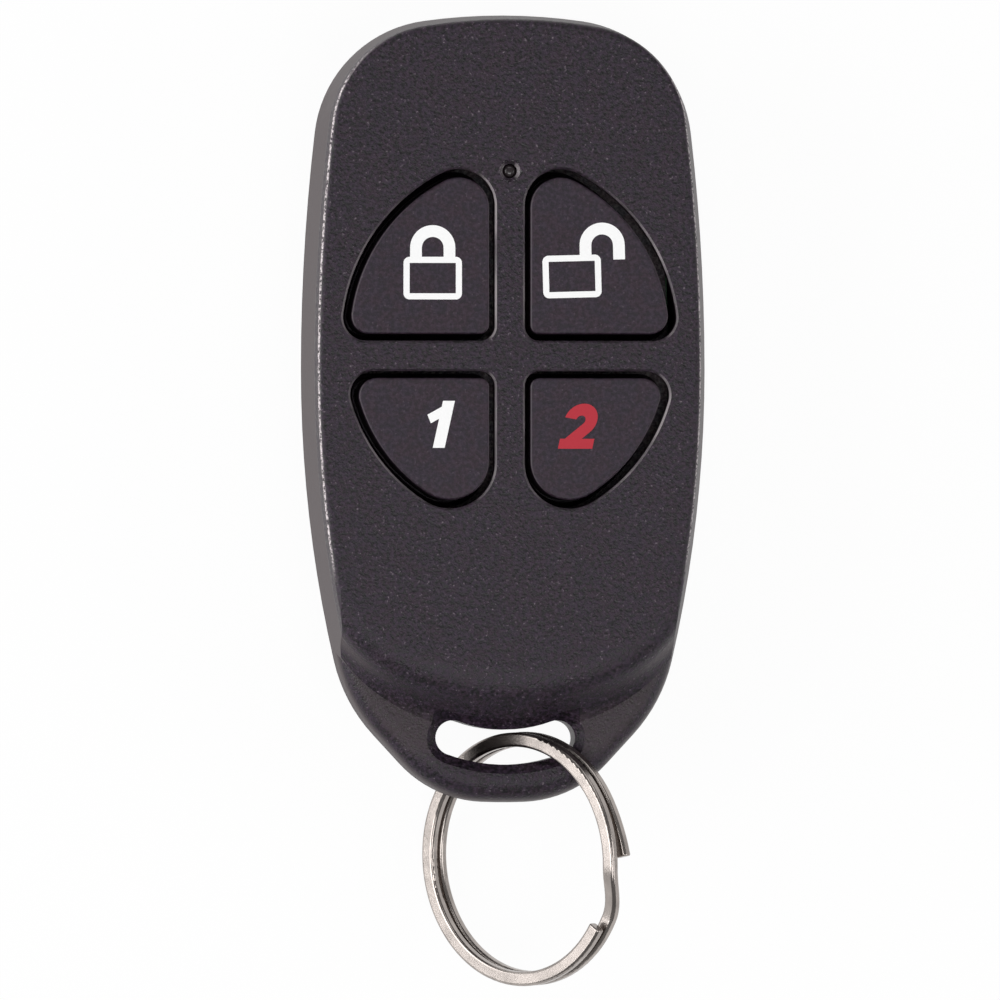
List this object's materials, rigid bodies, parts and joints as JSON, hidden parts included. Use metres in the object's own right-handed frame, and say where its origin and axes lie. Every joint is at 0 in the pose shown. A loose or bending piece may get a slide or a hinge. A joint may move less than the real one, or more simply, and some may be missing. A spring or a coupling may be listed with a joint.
{
  "type": "alarm key fob",
  "caption": "Handheld alarm remote: egg shaped plastic housing, inset keys in a shield layout, status light and a split ring in the tail slot.",
  "frame": {"origin": "centre of the flat back, on the plane that the fob rests on", "axes": "+Z out of the key face, +Y away from the ring end, +X to the right when the keys face the viewer with the ring end down"},
  "size_m": [0.0324, 0.0775, 0.0159],
  "materials": {
    "housing_plastic": "fine moulded grain, dark warm charcoal",
    "key_silicone": "soft matt silicone in the housing's colour",
    "keypad_silicone": "matt silicone sheet",
    "carbon_pill": "matt carbon loaded rubber",
    "screw_steel": "zinc plated",
    "light_pipe_plastic": "smoked clear plastic",
    "led_body": "moulded lens",
    "board_laminate": "green solder mask",
    "cell_steel": "bright rolled steel",
    "contact_metal": "nickel plated spring strip",
    "chip_package": "black epoxy",
    "crystal_can": "bright can",
    "capacitor_ceramic": "tan ceramic",
    "antenna_wire": "bare copper coloured wire",
    "ring_steel": "nickel plated spring steel, bright"
  },
  "bodies": {
    "housing": {"front_housing": "housing_plastic", "rear_cover": "housing_plastic", "cover_screw": "screw_steel", "keypad_mat": "keypad_silicone", "light_pipe": "light_pipe_plastic", "status_led": "led_body", "circuit_board": "board_laminate", "coin_cell": "cell_steel", "battery_plus_clip": "contact_metal", "battery_minus_contact": "contact_metal", "microcontroller": "chip_package", "transmitter_chip": "chip_package", "crystal": "crystal_can", "board_capacitors": "capacitor_ceramic", "loop_antenna": "antenna_wire", "lock_key_skirt": "key_silicone", "unlock_key_skirt": "key_silicone", "first_function_key_skirt": "key_silicone", "second_function_key_skirt": "key_silicone"},
    "lock_key_body": {"lock_key": "key_silicone", "lock_key_contact_pill": "carbon_pill"},
    "unlock_key_body": {"unlock_key": "key_silicone", "unlock_key_contact_pill": "carbon_pill"},
    "first_function_key_body": {"first_function_key": "key_silicone", "first_function_key_contact_pill": "carbon_pill"},
    "second_function_key_body": {"second_function_key": "key_silicone", "second_function_key_contact_pill": "carbon_pill"},
    "ring_body": {"split_ring": "ring_steel"}
  },
  "joints": [
    {"name": "lock_key_press", "type": "slide", "parent": "housing", "child": "lock_key_body", "axis": [0, 0, -1], "range_m": [0, 0.0008], "stiffness_N_per_m": 2500, "deforming": ["lock_key_skirt"]},
    {"name": "unlock_key_press", "type": "slide", "parent": "housing", "child": "unlock_key_body", "axis": [0, 0, -1], "range_m": [0, 0.0008], "stiffness_N_per_m": 2500, "deforming": ["unlock_key_skirt"]},
    {"name": "first_function_key_press", "type": "slide", "parent": "housing", "child": "first_function_key_body", "axis": [0, 0, -1], "range_m": [0, 0.0008], "stiffness_N_per_m": 2500, "deforming": ["first_function_key_skirt"]},
    {"name": "second_function_key_press", "type": "slide", "parent": "housing", "child": "second_function_key_body", "axis": [0, 0, -1], "range_m": [0, 0.0008], "stiffness_N_per_m": 2500, "deforming": ["second_function_key_skirt"]},
    {"name": "ring_swing", "type": "hinge", "parent": "housing", "child": "ring_body", "pos_m": [0.00171, -0.03598, 0.008], "axis": [0.0698, -0.9976, 0], "range_deg": [0, 86]}
  ]
}
